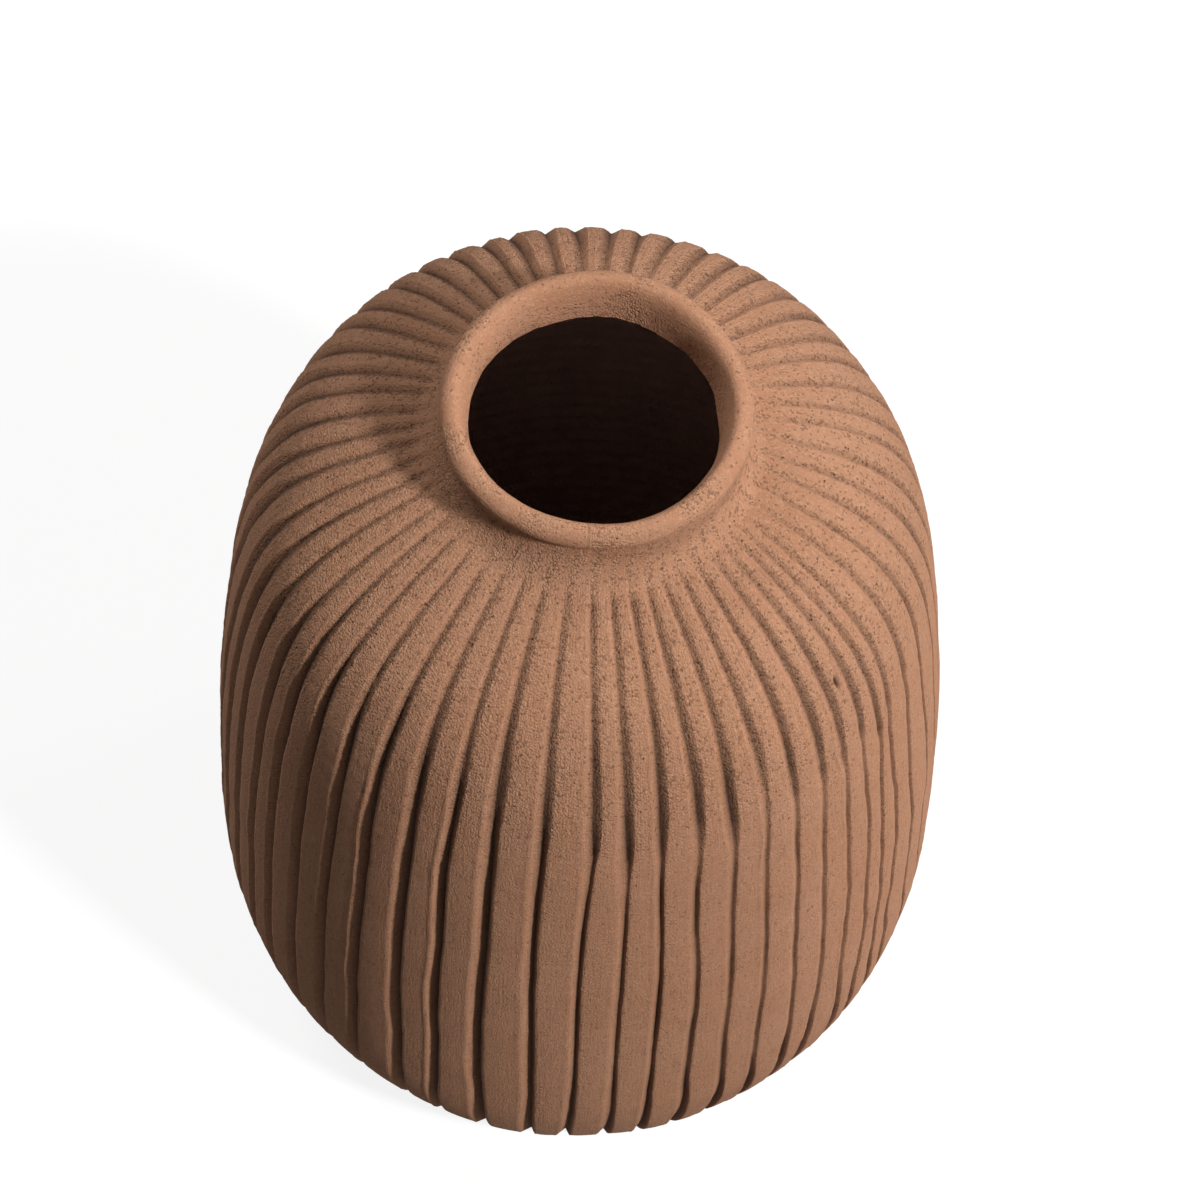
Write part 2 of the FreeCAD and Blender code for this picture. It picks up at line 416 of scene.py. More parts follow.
@dataclass
class Outline:
    """Outside of the thrown body, from its foot to the foot of its neck, in millimetres."""

    belly_radius: float
    seam_height: float
    neck_foot_radius: float
    neck_foot_height: float
    roll_circle: float
    roll_radius: float
    roll_height: float
    belly_height: float = 80.0
    foot_inset: float = 21.0
    seam_inset: float = 11.0
    low_pull: float = 71.0
    top_pull: float = 55.0
    neck_foot_slope: float = math.radians(24)
    cove_end: float = -48.0
    cove_bury: float = 0.8
    wall_thickness: float = 12.0
    opening_radius: float = 58.0
    seat_depth: float = 3.0

    @classmethod
    def from_frame(cls) -> "Outline":
        """Takes the main sizes from the construction nodes.

        Returns:
            The outline.
        """
        low, high = cad_box
        roll_low, roll_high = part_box("rim_roll")
        roll_radius = (roll_high.z - roll_low.z) / 2 / MM
        return cls(
            belly_radius=min(high.x, high.y, -low.x, -low.y) / MM,
            seam_height=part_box("body_wall")[1].z / MM,
            neck_foot_radius=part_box("neck_collar")[1].x / MM,
            neck_foot_height=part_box("shoulder")[1].z / MM,
            roll_circle=roll_high.x / MM - roll_radius,
            roll_radius=roll_radius,
            roll_height=roll_low.z / MM + roll_radius,
        )

    @property
    def upper_arc(self) -> float:
        """Radius of the arc from the belly up to the seam."""
        return self.arc_radius(self.seam_inset, self.seam_height - self.belly_height)

    @staticmethod
    def arc_radius(inset: float, rise: float) -> float:
        """Radius of an arc that starts upright and moves in by an inset over a rise."""
        return (inset ** 2 + rise ** 2) / (2 * inset)

    def wall_radius(self, height: Array, depth: float = 0.0) -> Array:
        """Radius of the wall.

        Args:
            height: heights over the floor.
            depth: distance inside the outside face.

        Returns:
            Radius at each height.
        """
        lower_arc = self.arc_radius(self.foot_inset, self.belly_height)
        arc = np.where(height < self.belly_height, lower_arc, self.upper_arc)
        return self.belly_radius - arc + np.sqrt((arc - depth) ** 2 - (height - self.belly_height) ** 2)

    def shoulder(self, count: int) -> Array:
        """Evenly spaced points of the shoulder, from the seam to the foot of the neck.

        Args:
            count: number of points.

        Returns:
            Radius and height of each point.
        """
        lean = math.asin((self.seam_height - self.belly_height) / self.upper_arc)
        slope = self.neck_foot_slope
        start = np.array([self.belly_radius - self.seam_inset, self.seam_height])
        end = np.array([self.neck_foot_radius, self.neck_foot_height])
        low = start + self.low_pull * np.array([-math.sin(lean), math.cos(lean)])
        top = end + self.top_pull * np.array([math.cos(slope), -math.sin(slope)])
        return evenly(swept(start, low, top, end, FINE_POINTS), count)

    def roll_point(self, bearing: float, inset: float) -> Array:
        """Point under the face of the roll's section, at a bearing in degrees up from its outer side."""
        turn, reach = math.radians(bearing), self.roll_radius - inset
        middle = np.array([self.roll_circle, self.roll_height])
        return middle + reach * np.array([math.cos(turn), math.sin(turn)])

    def cove(self, count: int) -> Array:
        """Evenly spaced points of the neck's outside, from its foot to the underside of the roll.

        Args:
            count: number of points.

        Returns:
            Radius and height of each point.
        """
        foot = np.array([self.neck_foot_radius, self.neck_foot_height])
        top = self.roll_point(self.cove_end, self.cove_bury)
        corner = np.array([top[0], foot[1] + (foot[0] - top[0]) * math.tan(self.neck_foot_slope)])
        share = np.linspace(0, 1, FINE_POINTS // 4)[:, None]
        return evenly((1 - share) ** 2 * foot + 2 * share * (1 - share) * corner + share ** 2 * top, count)


@dataclass
class Strokes:
    """Hand-cut flutes: where each stroke runs, how wide it is and how deep, in millimetres and degrees.

    Widths and depths are given on the wall, half-way up the shoulder and at the neck. The maker cut shoulder
    and wall in two passes, so most strokes have a knee where the passes meet, and cut lighter on the right.
    Pairs of bearings or heights tell where a change starts and ends. Pairs that shape the sway, the bend or
    the end of a pass are a size and a length along the stroke.
    """

    count: int = 57
    first_bearing: float = -48.0
    front_steps: tuple[int, ...] = (7,) * 5 + (8,) * 2 + (6,) * 7 + (5,) * 2 + (4,) * 2
    hidden_spread: float = 0.5
    left_widths: Sizes = (4.7, 3.2, 1.6)
    right_widths: Sizes = (1.8, 3.8, 2.4)
    depths: Sizes = (3.8, 1.9, 0.8)
    size_range: Pair = (0.9, 1.1)
    lean: float = -1.4
    lean_spread: float = 0.7
    sway: Pair = (0.26, 160.0)
    tremble: Pair = (0.025, 30.0)
    wavy_tremble: float = 3.6
    wavy_bearings: Zone = (34, 56, 100, 150)
    wavy_over_knee: Pair = (-20, 15)
    knee_height: float = 295.0
    knee_spread: float = 6.0
    knee_range: Pair = (0.5, 1.2)
    knee_bearings: Zone = (-8, 4, 48, 60)
    faint_knee: float = 0.25
    upper_bend: Pair = (0.5, 45.0)
    lower_bend: Pair = (0.5, 32.0)
    pass_overlap: float = 1.4
    pointed_end: Pair = (0.35, 6.0)
    long_taper: Pair = (0.5, 35.0)
    light_start: Pair = (0.42, 28.0)
    least_size: float = 0.2
    right_bearings: Pair = (-12, 8)
    far_bearings: Pair = (15, 45)
    side_bearings: Pair = (44, 66)
    right_end: Pair = (100, 150)
    right_ease: float = 0.75
    side_ease: float = 0.7
    ease_over_knee: Pair = (-16, 4)
    foot_heights: Pair = (15, 130)
    foot_share: float = 0.8
    seed: int = 11

    def __post_init__(self) -> None:
        """Draws what differs from stroke to stroke."""
        self.draw = np.random.default_rng(self.seed)
        front = self.first_bearing + np.append(0, np.cumsum(self.front_steps))
        hidden = self.count - len(front)
        pitch = (360 - sum(self.front_steps)) / (hidden + 1)
        behind = front[-1] + pitch * np.arange(1, hidden + 1)
        behind = behind + self.draw.uniform(-self.hidden_spread, self.hidden_spread, hidden)
        self.bearing = np.concatenate([front, behind])
        self.knees = self.knee_height + self.draw.normal(0, self.knee_spread, self.count)
        bold = self.faint_knee + (1 - self.faint_knee) * zone(self.bearing, self.knee_bearings)
        self.swing = self.draw.uniform(*self.knee_range, self.count) * bold
        self.drift = self.lean + self.draw.normal(0, self.lean_spread, self.count)
        self.wide = self.draw.uniform(*self.size_range, self.count)
        self.deep = self.draw.uniform(*self.size_range, self.count)

    def wander(self, run: Array, size: Pair) -> Array:
        """Slow change along each stroke.

        Args:
            run: distance along the outline of each row, as a column.
            size: usual size of the change and distance between two crests.

        Returns:
            Values by row and stroke.
        """
        shortest, longest, waves = 0.6, 1.7, 3
        total = np.zeros((len(run), self.count))
        for _ in range(waves):
            pitch = size[1] * self.draw.uniform(shortest, longest, self.count)
            phase = self.draw.uniform(0, TURN, self.count)
            total += np.sin(TURN * run / pitch + phase)
        return size[0] * total / 2

    def knee(self, height: Array) -> tuple[Array, Array]:
        """Bend of each stroke to the right, where its upper pass ends over its lower one.

        Args:
            height: height of each row, as a column.

        Returns:
            Degrees of the bend, and the share of the stroke's size that the pointed end of the upper pass and
            the lighter start of the lower one leave, both by row and stroke.
        """
        over = height - self.knees
        upper = 1 / (1 + np.exp(-np.clip(over / self.pass_overlap, -40, 40)))
        bend, point, taper = (size * np.exp(-np.maximum(over, 0) / length) for size, length in (
            self.upper_bend, self.pointed_end, self.long_taper))
        low_bend, light = (size * np.exp(-np.maximum(-over, 0) / length) for size, length in (
            self.lower_bend, self.light_start))
        taper = taper * smooth_step(self.bearing, *self.far_bearings)
        lost = upper * (point + taper) + (1 - upper) * light
        return np.minimum(bend, low_bend) * self.swing, np.maximum(self.least_size, 1 - self.swing * lost)

    def ease(self, height: Array) -> Array:
        """How much lighter a stroke is cut: on the right below its knee but not at the foot, all at the side.

        Args:
            height: height of each row, as a column.

        Returns:
            Shares from 0 to 1 by row and stroke.
        """
        right, far, side, behind = (smooth_step(self.bearing, *ends) for ends in (
            self.right_bearings, self.far_bearings, self.side_bearings, self.right_end))
        right = self.right_ease * right + (1 - self.right_ease) * far
        lower = 1 - smooth_step(height - self.knees, *self.ease_over_knee)
        foot = 1 - smooth_step(height, *self.foot_heights)
        return (1 - behind) * np.maximum(right * lower * (1 - self.foot_share * foot), self.side_ease * side)

    def middle(self, height: Array, run: Array) -> Array:
        """Bearing of each stroke's deepest line, but for its bend.

        Args:
            height: height of each row, as a column.
            run: distance along the outline of each row, as a column.

        Returns:
            Bearings in degrees by row and stroke.
        """
        fall = np.clip(1 - height / self.knees, 0, 1)
        wavy = 1 - smooth_step(height - self.knees, *self.wavy_over_knee)
        wavy = wavy * zone(self.bearing, self.wavy_bearings)
        sway = (1 + wavy) * self.wander(run, self.sway)
        tremble = (1 + self.wavy_tremble * wavy) * self.wander(run, self.tremble)
        return self.bearing + self.drift * fall + sway + tremble


@dataclass
class FlutedSkin:
    """Outside of the wall and the shoulder with all its strokes, as one run of rows.

    Wanders and eases are for a stroke's left width, right width and depth. Bold strokes lie behind.
    """

    outline: Outline
    strokes: Strokes
    wall_rows: int = 122
    shoulder_rows: int = 104
    neck_rows: int = 18
    edge_rows: Sizes = (0.0, 0.4, 1.0, 1.8)
    wall_start: float = 3.0
    left_columns: int = 6
    right_shares: Sizes = (0.3, 0.68, 0.92, 1.0)
    strip_columns: int = 6
    strip_margin: float = 0.6
    loop_columns: int = 2
    foot_edge: float = 1.4
    foot_wear: float = 1.2
    skin_room: float = 0.4
    crown: float = 0.15
    lip: float = 0.25
    lip_power: int = 6
    lip_follows: float = 0.8
    left_hollow: float = 1.05
    right_hollow: float = 1.1
    neck_hollow: float = 0.4
    full_painted_shade: float = 0.6
    left_painted_shade: float = 2.5
    right_painted_shade: float = 0.5
    left_torn: float = 0.5
    right_spared: float = 0.4
    strip_torn: float = 0.4
    least_torn: float = 0.05
    wall_rough: float = 0.25
    upper_rough: float = 0.55
    strip_rough: float = 0.2
    wanders: tuple[Pair, ...] = ((0.08, 60.0), (0.08, 45.0), (0.1, 70.0))
    eases: Sizes = (0.5, 0.4, 0.66)
    widest_cut: float = 0.66
    bold_bearings: Zone = (165, 195, 255, 285)
    bold_width: float = 0.5
    bold_depth: float = 0.4
    end_radius: float = 61.0
    end_length: float = 11.0
    end_shifts: tuple[tuple[float, Zone], ...] = ((6.0, (20, 60, 100, 140)), (-5.0, (235, 255, 312, 330)))
    level_heights: Pair = (200, 300)
    upper_heights: Pair = (275, 325)
    rise_start: float = 25.0
    step_height: float = 0.3
    wide_lumps: Pair = (0.25, 55.0)
    small_lumps: Pair = (0.07, 7.0)
    grit: float = 0.13
    crack_place: Pair = (52.8, 329.0)
    crack_size: Pair = (0.8, 2.6)
    crack_depth: float = 1.4
    crack_floor: float = 1.8
    seed: int = 3

    @property
    def columns(self) -> int:
        """Columns of one stroke and the strip to its right."""
        return self.left_columns + len(self.right_shares) + self.strip_columns

    def __post_init__(self) -> None:
        """Works out every point of the skin and the marks that its finish reads."""
        outline, strokes = self.outline, self.strokes
        curve = self.profile()
        self.radius, self.height = radius, height = curve.T[:, :, None]
        self.run = run = run_lengths(curve)[:, None]
        self.upper = upper = smooth_step(height, *self.upper_heights)
        self.rise = smooth_step(height, outline.seam_height + self.rise_start, outline.neck_foot_height)
        square = smooth_step(height, *self.level_heights)
        inward = square * outward(curve) + (1 - square) * np.array([1.0, 0.0])
        inward /= np.linalg.norm(inward, axis=1, keepdims=True)

        # The upper pass tore the clay more, and left grit on the strips too.
        bearing, depth, groove_shade, torn = self.carved()
        rough = torn * (self.wall_rough + self.upper_rough * upper) + self.strip_rough * upper
        plain = around(radius, bearing, height)
        step = np.repeat(strokes.draw.uniform(0, self.step_height, strokes.count), self.columns)
        lumps = unevenness(plain, self.wide_lumps, self.seed)
        lumps += unevenness(plain, self.small_lumps, self.seed + 1)
        grit = strokes.draw.normal(0, self.grit, depth.shape) * rough
        worn = self.foot_wear * np.clip(1 - height / self.foot_edge, 0, 1) ** 2
        across = radius * (bearing - math.radians(self.crack_place[0])) / self.crack_size[0]
        along = (run - np.interp(self.crack_place[1], height[:, 0], run[:, 0])) / self.crack_size[1]
        crack = np.minimum(1, self.crack_floor * np.exp(-across ** 2 - along ** 2))
        depth = self.skin_room + depth + self.crack_depth * crack + step * (1 - self.rise) + lumps + grit
        depth = np.maximum(0, depth) + worn
        self.points = around(radius - depth * inward[:, :1], bearing, height - depth * inward[:, 1:])
        # The chip is painted as dark as a deep stroke, for the shade in it.
        self.marks = {"groove_shade": np.maximum(groove_shade, crack), "torn": rough,
                      "across": bearing * outline.belly_radius, "along": np.broadcast_to(run, bearing.shape)}

    def profile(self) -> Array:
        """Outline of the rows, close together at the foot's edge.

        Returns:
            Radius and height of each row.
        """
        outline = self.outline
        height = np.append(self.edge_rows, np.linspace(
            self.wall_start, outline.seam_height, self.wall_rows - len(self.edge_rows)))
        wall = np.stack([outline.wall_radius(height), height], axis=1)
        return np.concatenate([
            wall, outline.shoulder(self.shoulder_rows + 1)[1:], outline.cove(self.neck_rows + 1)[1:]])

    def cut(self) -> tuple[Array, ...]:
        """Places and sizes of the strokes on each row.

        Returns:
            Middle, left width and right width in radians, depth in millimetres, and shares of painted shade
            and of the full depth at the strokes' ends, each by row and stroke.
        """
        outline, strokes, radius, height, run = self.outline, self.strokes, self.radius, self.height, self.run
        bend, share = strokes.knee(height)
        bend = np.radians(bend)
        middle = np.radians(strokes.middle(height, run)) + bend
        light = strokes.ease(height)
        stations = [outline.seam_height, outline.shoulder(3)[1, 1], outline.neck_foot_height]
        left, right, deep = (
            np.interp(height, stations, sizes) * (1 + strokes.wander(run, wander)) * (1 - ease * light)
            for sizes, wander, ease in zip(
                (strokes.left_widths, strokes.right_widths, strokes.depths), self.wanders, self.eases))
        bold = self.upper * zone(strokes.bearing, self.bold_bearings)
        left = left * strokes.wide * (1 + self.bold_width * bold)
        right = right * strokes.wide * share
        fit = np.minimum(1, self.widest_cut * TURN * radius / strokes.count / (left + right)) / radius
        end = self.end_radius + sum(shift * zone(strokes.bearing, ends) for shift, ends in self.end_shifts)
        fade = smooth_step(radius, end, end + self.end_length)
        deep = deep * strokes.deep * fade * share * (1 + self.bold_depth * bold)
        # Painted shade: deeper strokes are painted darker, and the same share sets the lip.
        painted_shade_share = np.clip(deep / (self.full_painted_shade * strokes.depths[0]), 0, 1)
        return middle, left * fit + self.lip_follows * bend, right * fit, deep, painted_shade_share, fade

    def carved(self) -> list[Array]:
        """Columns over each stroke's left side, with its lip, its right side and the strip beside it.

        Returns:
            Bearing in radians, depth in millimetres, painted shade and torn clay, each by row and column.
        """
        middle, left, right, deep, painted_shade_share, fade = self.cut()
        following = np.roll(middle, -1, axis=1)
        following[:, -1] += TURN
        strip = following - np.roll(left, -1, axis=1) - middle - right
        columns: list[tuple[Any, ...]] = []
        # A power over 1 hollows a side. The right side is torn and painted dark for its shade all over, the
        # left one only low down.
        for share in np.linspace(1, 0, self.left_columns):
            low = 1 - share
            lip = self.lip * painted_shade_share * share ** self.lip_power
            columns.append((middle - share * left, deep * low ** self.left_hollow - lip,
                            painted_shade_share * low ** self.left_painted_shade, self.left_torn * low ** 3))
        hollow = self.right_hollow + self.neck_hollow * self.rise
        for share in self.right_shares:
            low = 1 - share
            columns.append((middle + share * right, deep * low ** hollow,
                            painted_shade_share * low ** self.right_painted_shade, 1 - self.right_spared * share))
        span = self.strip_columns - 1 + 2 * self.strip_margin
        for share in (np.arange(self.strip_columns) + self.strip_margin) / span:
            columns.append((middle + right + share * strip, -self.crown * fade * (1 - (2 * share - 1) ** 2),
                            0.0, self.strip_torn * (1 - share) ** 2 + self.least_torn))
        shape = middle.shape
        return [np.stack([np.broadcast_to(part, shape) for part in parts], axis=-1).reshape(shape[0], -1)
                for parts in zip(*columns)]

    def rows(self, first: int, last: int) -> dict[str, Array]:
        """Points and marks of a run of rows, ready for a grid."""
        part = {mark: value[first:last + 1] for mark, value in self.marks.items()}
        return {"points": self.points[first:last + 1], **part}

    def loop_bearings(self) -> Array:
        """Bearings of a plain loop of fewer points that keeps step with the columns.

        Returns:
            Bearings in radians.
        """
        start = np.radians(self.strokes.bearing)
        following = np.append(start[1:], start[0] + TURN)
        shares = np.arange(self.loop_columns) / self.loop_columns
        return (start[:, None] + (following - start)[:, None] * shares).reshape(-1)


@dataclass
class ThrownInside:
    """Inside faces that the potter's fingers left, with low rings that climb round the wall."""

    ring_pitch: float = 11.0
    ring_relief: float = 1.1

    def turned(self, curve: Array, bearing: Array) -> Array:
        """Turns a curve round the axis and rings it.

        Args:
            curve: radius and height of the inside's points.
            bearing: bearings of the columns.

        Returns:
            Points by row and column.
        """
        radius, height = curve.T[:, :, None]
        ring = self.ring_relief * np.sin(TURN * (height / self.ring_pitch + bearing / TURN))
        return around(radius + ring, bearing, height)


@dataclass
class FootSeat:
    """Joint between the slab and the ledge round the wall's foot, in millimetres."""

    slab_thickness: float
    slab_radius: float
    ledge_height: float = 7.0
    film: float = 0.2

    @classmethod
    def from_frame(cls) -> "FootSeat":
        """Takes the slab's sizes from its construction node."""
        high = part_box("base_slab")[1]
        return cls(slab_thickness=high.z / MM, slab_radius=high.x / MM)


@dataclass
class BodyWall:
    """Barrelled wall: fluted outside, ringed inside, and a ledge at its foot for the slab."""

    skin: FlutedSkin
    inside: ThrownInside
    seat: FootSeat
    toe_width: float = 14.0
    slab_shows: float = 1.0
    inside_rows: int = 70

    def build(self) -> Object:
        """Builds the wall.

        Returns:
            One closed mesh.
        """
        outline, seat = self.skin.outline, self.seat
        made = Skin()
        outside = made.grid(**self.skin.rows(0, self.skin.wall_rows - 1))
        bearing = self.skin.loop_bearings()
        height = np.linspace(seat.slab_thickness + self.slab_shows, outline.seam_height, self.inside_rows)
        hollow = np.stack([outline.wall_radius(height, outline.wall_thickness), height], axis=1)
        hollow = made.grid(self.inside.turned(hollow, bearing), inside=True, dusty=np.ones(()))
        toe = outline.wall_radius(np.zeros(1))[0] - self.toe_width
        edge = seat.slab_radius + seat.film
        ledge = np.array([
            [toe, 0], [toe, seat.ledge_height], [edge, seat.ledge_height], [edge, seat.slab_thickness]])
        ledge = made.grid(around(ledge[:, :1], bearing, ledge[:, 1:]), inside=True)
        made.borders += list(ledge)
        made.ring(ledge[-1], hollow[0])
        made.ring(outside[-1], hollow[-1])
        made.ring(outside[0], ledge[0], inside=True)
        return made.make("fluted_wall")


@dataclass
class Shoulder:
    """Fluted dome between the wall and the neck."""

    skin: FlutedSkin
    inside: ThrownInside
    inside_rows: int = 50
    lip_room: float = 1.0

    def build(self) -> Object:
        """Builds the shoulder.

        Returns:
            One closed mesh.
        """
        outline = self.skin.outline
        first = self.skin.wall_rows - 1
        made = Skin()
        outside = made.grid(**self.skin.rows(first, first + self.skin.shoulder_rows))
        curve = outline.shoulder(self.inside_rows)
        hollow = curve - outline.wall_thickness * outward(curve)
        hollow[0, 1] = outline.seam_height
        keep = hollow[:, 0] > outline.opening_radius + self.lip_room
        lip = [[outline.opening_radius, outline.neck_foot_height - outline.seat_depth]]
        hollow = self.inside.turned(np.concatenate([hollow[keep], lip]), self.skin.loop_bearings())
        hollow = made.grid(hollow, inside=True, dusty=np.ones(()))
        made.ring(outside[-1], hollow[-1])
        made.ring(outside[0], hollow[0], inside=True)
        return made.make("fluted_shoulder")


@dataclass
class Neck:
    """Short coved neck: the strokes run out on it, and on the right it is filled up to the roll."""

    skin: FlutedSkin
    throat_radius: float = 46.6
    throat_height: float = 385.0
    skirt: float = 2.6
    hidden_drop: float = 0.4
    hidden_room: float = 0.6
    hidden_end: Pair = (-95.0, 0.5)
    mouth_shift: float = 2.1
    lobes: tuple[int, ...] = (2, 3, 5)
    lobe_relief: float = 0.22
    fill_out: float = 1.6
    fill_up: float = 3.0
    fill_bearing: float = math.radians(100)
    fill_reach: Pair = (math.radians(37.5), math.radians(112.5))
    seed: int = 21

    def settled(self, points: Array, filled: bool = False) -> Array:
        """Leans the neck to the right and makes it as uneven as hands do.

        Args:
            points: places of the neck or the rim, in millimetres.
            filled: True where clay is pushed up to the roll on the right.

        Returns:
            The settled places.
        """
        outline = self.skin.outline
        roll_foot = outline.roll_height - outline.roll_radius
        share = smooth_step(points[..., 2], outline.neck_foot_height, roll_foot)
        bearing = np.arctan2(points[..., 0], -points[..., 1])
        draw = np.random.default_rng(self.seed)
        swell = np.zeros_like(bearing)
        for lobes in self.lobes:
            swell += self.lobe_relief * np.cos(lobes * bearing + draw.uniform(0, TURN))
        moved = points.copy()
        if filled:
            away = np.abs((bearing - self.fill_bearing + math.pi) % TURN - math.pi)
            fill = share * (1 - smooth_step(away, *self.fill_reach))
            swell = swell + self.fill_out * fill
            moved[..., 2] += self.fill_up * fill
        length = np.hypot(points[..., 0], points[..., 1])
        for axis in (0, 1):
            moved[..., axis] *= 1 + share * swell / np.maximum(length, 1)
        moved[..., 0] += self.mouth_shift * share
        return moved

    def build(self) -> Object:
        """Builds the neck; its inside is hidden by the skirt of the roll.

        Returns:
            One closed mesh.
        """
        outline = self.skin.outline
        first = self.skin.wall_rows - 1 + self.skin.shoulder_rows
        outside = self.skin.rows(first, first + self.skin.neck_rows)
        outside["points"] = self.settled(outside["points"], filled=True)
        made = Skin()
        outside = made.grid(**outside)
        bearing = self.skin.loop_bearings()
        hidden = np.array([
            [outline.opening_radius, outline.neck_foot_height - outline.seat_depth],
            [self.throat_radius + self.skirt, self.throat_height - self.hidden_drop * self.skirt],
            [self.throat_radius + self.skirt + self.hidden_room, self.throat_height + 2 * self.skirt],
            outline.roll_point(*self.hidden_end)])
        hidden = made.grid(self.settled(around(hidden[:, :1], bearing, hidden[:, 1:])), inside=True)
        made.borders += list(hidden)
        made.ring(outside[-1], hidden[-1])
        made.ring(outside[0], hidden[0], inside=True)
        return made.make("neck")


@dataclass
class RimRoll:
    """Roll of clay round the mouth; its inside is smoothed down to the sharp edge of the throat."""

    neck: Neck
    columns: int = 360
    roll_rows: int = 22
    skirt_rows: int = 26
    edge_rows: int = 9
    lip_rows: int = 2
    roll_span: Pair = (-55.0, 90.0)
    top_pull: Pair = (-4.2, 0.0)
    throat_pull: Pair = (0.2, 9.0)
    behind_drop: float = 0.35
    behind_rooms: Pair = (-0.2, 0.3)
    behind_end: float = -100.0
    shrink: float = 0.35
    room: float = 0.12
    roll_room: float = 0.1
    wide_lumps: Pair = (0.22, 26.0)
    small_lumps: Pair = (0.066, 6.0)
    edge_lumps: Pair = (0.12, 9.0)
    wear: Pair = (1.0, 34.0)
    wear_limits: Pair = (0.0, 0.8)
    wear_torn: float = 0.7
    edge_wear: float = 0.5
    seed: int = 31

    def section(self) -> tuple[Array, int]:
        """Closed section of the roll and its skirt.

        Returns:
            Radius and height of the points, from the outer crease over the top and down to the throat's edge,
            and the number of that edge.
        """
        neck, outline = self.neck, self.neck.skin.outline
        turns = np.linspace(*self.roll_span, self.roll_rows)
        over = np.array([outline.roll_point(turn, self.shrink) for turn in turns])
        edge = np.array([neck.throat_radius, neck.throat_height])
        skirt = swept(over[-1], over[-1] + self.top_pull, edge + self.throat_pull, edge, self.skirt_rows)[1:]
        low, high = neck.throat_radius + neck.skirt + np.array(self.behind_rooms)
        behind = np.array([
            [low, neck.throat_height - self.behind_drop * neck.skirt],
            [high, neck.throat_height + 2 * neck.skirt],
            outline.roll_point(self.behind_end, self.shrink)])
        return np.concatenate([over, skirt, behind]), len(over) + len(skirt) - 1

    def build(self) -> Object:
        """Builds the roll.

        Returns:
            One closed mesh.
        """
        outline = self.neck.skin.outline
        curve, edge = self.section()
        lip = slice(edge - self.lip_rows, edge + self.lip_rows)
        inside = slice(edge - self.edge_rows, edge + 1)
        bearing = np.linspace(0, TURN, self.columns, endpoint=False)
        plain = around(curve[:, :1], bearing, curve[:, 1:])
        centre = around(np.array(outline.roll_circle), bearing, np.array(outline.roll_height))
        lumps = unevenness(plain, self.wide_lumps, self.seed) - self.room
        lumps += unevenness(plain, self.small_lumps, self.seed + 1)
        lumps[:inside.start + 1] -= self.roll_room
        points = self.neck.settled(centre + (plain - centre) * (1 + lumps[..., None] / outline.roll_radius))
        points[lip, :, 2] += unevenness(plain[lip], self.edge_lumps, self.seed + 2)
        worn = smooth_step(unevenness(plain, self.wear, self.seed + 3), *self.wear_limits)
        worn[inside] = np.maximum(worn[inside], self.edge_wear)
        made = Skin()
        rows = made.grid(points, torn=self.wear_torn * worn, across=run_lengths(curve)[:, None],
                         along=bearing * outline.roll_circle)
        made.borders.append(rows[edge])
        made.faces.extend(np.stack([
            rows[-1], np.roll(rows[-1], -1), np.roll(rows[0], -1), rows[0]], axis=-1).tolist())
        return made.make("rolled_rim")


@dataclass
class BaseSlab:
    """Rolled disc of clay that closes the foot, with finger rings on top and wire marks below."""

    seat: FootSeat
    toe_radius: float = 114.8
    hub_radius: float = 1.5
    edge: float = 1.0
    columns: int = 114
    rows_below: int = 60
    rows_above: int = 90
    ring_pitch: float = 9.0
    ring_relief: float = 0.45
    wire_pitch: float = 6.0
    wire_bow: float = 0.002
    wire_relief: float = 0.12
    plain_border: Pair = (2.0, 8.0)

    def build(self) -> Object:
        """Builds the slab.

        Returns:
            One closed mesh.
        """
        toe, radius = self.toe_radius, self.seat.slab_radius
        ledge, thickness = self.seat.ledge_height, self.seat.slab_thickness
        bearing = np.linspace(0, TURN, self.columns, endpoint=False)
        spread = np.linspace(self.hub_radius, toe - self.edge, self.rows_below)
        below = np.stack([spread, np.zeros_like(spread)], axis=1)
        side = np.array([[toe, 0], [toe, ledge], [radius, ledge], [radius, thickness - self.edge]])
        top = np.linspace(radius - self.edge, self.hub_radius, self.rows_above)
        curve = np.concatenate([below, side, np.stack([top, np.full_like(top, thickness)], axis=1)])
        points = around(curve[:, :1], bearing, curve[:, 1:])
        first, last = len(below), len(below) + len(side)
        bowed = points[:first, :, 1] + self.wire_bow * points[:first, :, 0] ** 2
        wire = self.wire_relief * (1 + np.sin(TURN * bowed / self.wire_pitch))
        points[:first, :, 2] += wire * smooth_step(toe - spread, *self.plain_border)[:, None]
        climb = top[:, None] / self.ring_pitch + bearing / TURN
        points[last:, :, 2] -= self.ring_relief * (1 + np.sin(TURN * climb))
        made = Skin()
        rows = made.grid(points, across=curve[:, :1], along=bearing * radius / 2)
        made.borders += list(rows[first:last])
        made.faces += [rows[0, ::-1].tolist(), rows[-1].tolist()]
        return made.make("foot_slab")


CARVED_CLAY = Terracotta(
    name="carved_terracotta", clay="#B68263", warm_clay="#BA886A", pale_grain="#CB9B7A", dark_pit_and_shade="#4A2E20",
    streak_and_shade_clay="#301C13", dust="#C8B0A8", patch_mm=42, grain_mm=0.9, pit_cell_mm=1.8, pit_share=0.05,
    pit_patch=1.8, streak_across_mm=1.0, streak_along_mm=16, relief_mm=0.26)
SMOOTHED_CLAY = replace(
    CARVED_CLAY, name="smoothed_terracotta", clay="#B78364", warm_clay="#BB896B", streak_and_shade_clay="#8A5E48",
    patch_mm=24, pit_cell_mm=1.3, pit_share=0.1, pit_patch=3.2, streak_along_mm=14, relief_mm=0.2)


@dataclass(frozen=True)
class Lamp:
    """Square studio lamp: its bearing from +X towards +Y and its height, in degrees, and its side in metres.

    The level is the share of a full white that it gives to a surface turned to it.
    """

    name: str
    bearing: float
    height: float
    level: float
    size: float


